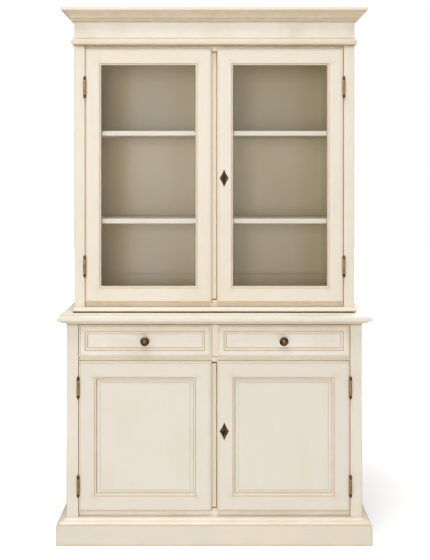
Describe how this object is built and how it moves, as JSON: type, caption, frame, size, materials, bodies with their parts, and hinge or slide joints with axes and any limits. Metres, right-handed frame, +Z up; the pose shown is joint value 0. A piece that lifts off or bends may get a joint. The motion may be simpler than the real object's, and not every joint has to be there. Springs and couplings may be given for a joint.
{
  "type": "dresser with hutch",
  "caption": "Tall painted dresser: a glazed two-door hutch with shelves and cornice on a base with drawers over panelled cupboard doors.",
  "frame": {"origin": "on the floor, under the middle of the outline box", "axes": "+Z up along the height, +Y towards the back, +X to the viewer's right when facing the doors"},
  "size_m": [1.25, 0.47, 2.146],
  "materials": {
    "paint": "aged cream paint, eggshell",
    "inner_paint": "greige paint, matt",
    "drawer_wood": "bare pale wood",
    "glass": "clear",
    "brass": "darkened antique",
    "steel": "dull"
  },
  "bodies": {
    "carcass": {"plinth_boards": "paint", "plinth_cap_moulding": "paint", "base_corner_posts": "paint", "base_front_rails": "paint", "drawer_divider": "paint", "base_frame_rails": "paint", "base_side_panels": "paint", "base_floor": "inner_paint", "base_back_panel": "inner_paint", "drawer_runners": "drawer_wood", "cupboard_shelf": "inner_paint", "shelf_pins": "steel", "counter_top": "paint", "counter_moulding": "paint", "hutch_corner_posts": "paint", "hutch_rails": "paint", "hutch_side_panels": "paint", "hutch_floor": "inner_paint", "hutch_top_board": "inner_paint", "hutch_back_frame": "inner_paint", "hutch_back_panel": "inner_paint", "upper_shelf": "inner_paint", "lower_shelf": "inner_paint", "hutch_base_moulding": "paint", "frieze_boards": "paint", "frieze_bead_moulding": "paint", "cornice_moulding": "paint", "hinge_post_halves": "brass"},
    "upper_left_door": {"upper_left_door_frame": "paint", "upper_left_door_glass": "glass", "upper_left_glazing_beads": "paint", "upper_left_closing_strip": "paint", "upper_left_hinge_halves": "brass", "upper_bolt_guides": "brass"},
    "upper_right_door": {"upper_right_door_frame": "paint", "upper_right_door_glass": "glass", "upper_right_glazing_beads": "paint", "upper_right_hinge_halves": "brass", "upper_escutcheon": "brass", "upper_lock_case": "steel"},
    "lower_left_door": {"lower_left_door_frame": "paint", "lower_left_door_panel": "paint", "lower_left_closing_strip": "paint", "lower_left_hinge_halves": "brass", "lower_bolt_guides": "brass"},
    "lower_right_door": {"lower_right_door_frame": "paint", "lower_right_door_panel": "paint", "lower_right_hinge_halves": "brass", "lower_escutcheon": "brass", "lower_lock_case": "steel"},
    "left_drawer": {"left_drawer_front": "paint", "left_drawer_box": "drawer_wood", "left_drawer_knob": "brass"},
    "right_drawer": {"right_drawer_front": "paint", "right_drawer_box": "drawer_wood", "right_drawer_knob": "brass"},
    "upper_lock_bolt": {"upper_lock_bolt": "steel"},
    "lower_lock_bolt": {"lower_lock_bolt": "steel"},
    "upper_slide_bolt": {"upper_slide_bolt": "brass"},
    "lower_slide_bolt": {"lower_slide_bolt": "brass"}
  },
  "joints": [
    {"name": "upper_left_door_hinge", "type": "hinge", "parent": "carcass", "child": "upper_left_door", "pos_m": [-0.52925, -0.1225, 0], "axis": [0, 0, -1], "range_deg": [0, 170]},
    {"name": "upper_right_door_hinge", "type": "hinge", "parent": "carcass", "child": "upper_right_door", "pos_m": [0.52925, -0.1225, 0], "axis": [0, 0, 1], "range_deg": [0, 170]},
    {"name": "lower_left_door_hinge", "type": "hinge", "parent": "carcass", "child": "lower_left_door", "pos_m": [-0.54325, -0.2065, 0], "axis": [0, 0, -1], "range_deg": [0, 170]},
    {"name": "lower_right_door_hinge", "type": "hinge", "parent": "carcass", "child": "lower_right_door", "pos_m": [0.54325, -0.2065, 0], "axis": [0, 0, 1], "range_deg": [0, 170]},
    {"name": "left_drawer_slide", "type": "slide", "parent": "carcass", "child": "left_drawer", "axis": [0, -1, 0], "range_m": [0, 0.32]},
    {"name": "right_drawer_slide", "type": "slide", "parent": "carcass", "child": "right_drawer", "axis": [0, -1, 0], "range_m": [0, 0.32]},
    {"name": "upper_lock_bolt_slide", "type": "slide", "parent": "upper_right_door", "child": "upper_lock_bolt", "axis": [-1, 0, 0], "range_m": [0, 0.009]},
    {"name": "upper_slide_bolt_slide", "type": "slide", "parent": "upper_left_door", "child": "upper_slide_bolt", "axis": [0, 0, 1], "range_m": [0, 0.012]},
    {"name": "lower_lock_bolt_slide", "type": "slide", "parent": "lower_right_door", "child": "lower_lock_bolt", "axis": [-1, 0, 0], "range_m": [0, 0.009]},
    {"name": "lower_slide_bolt_slide", "type": "slide", "parent": "lower_left_door", "child": "lower_slide_bolt", "axis": [0, 0, 1], "range_m": [0, 0.012]}
  ]
}
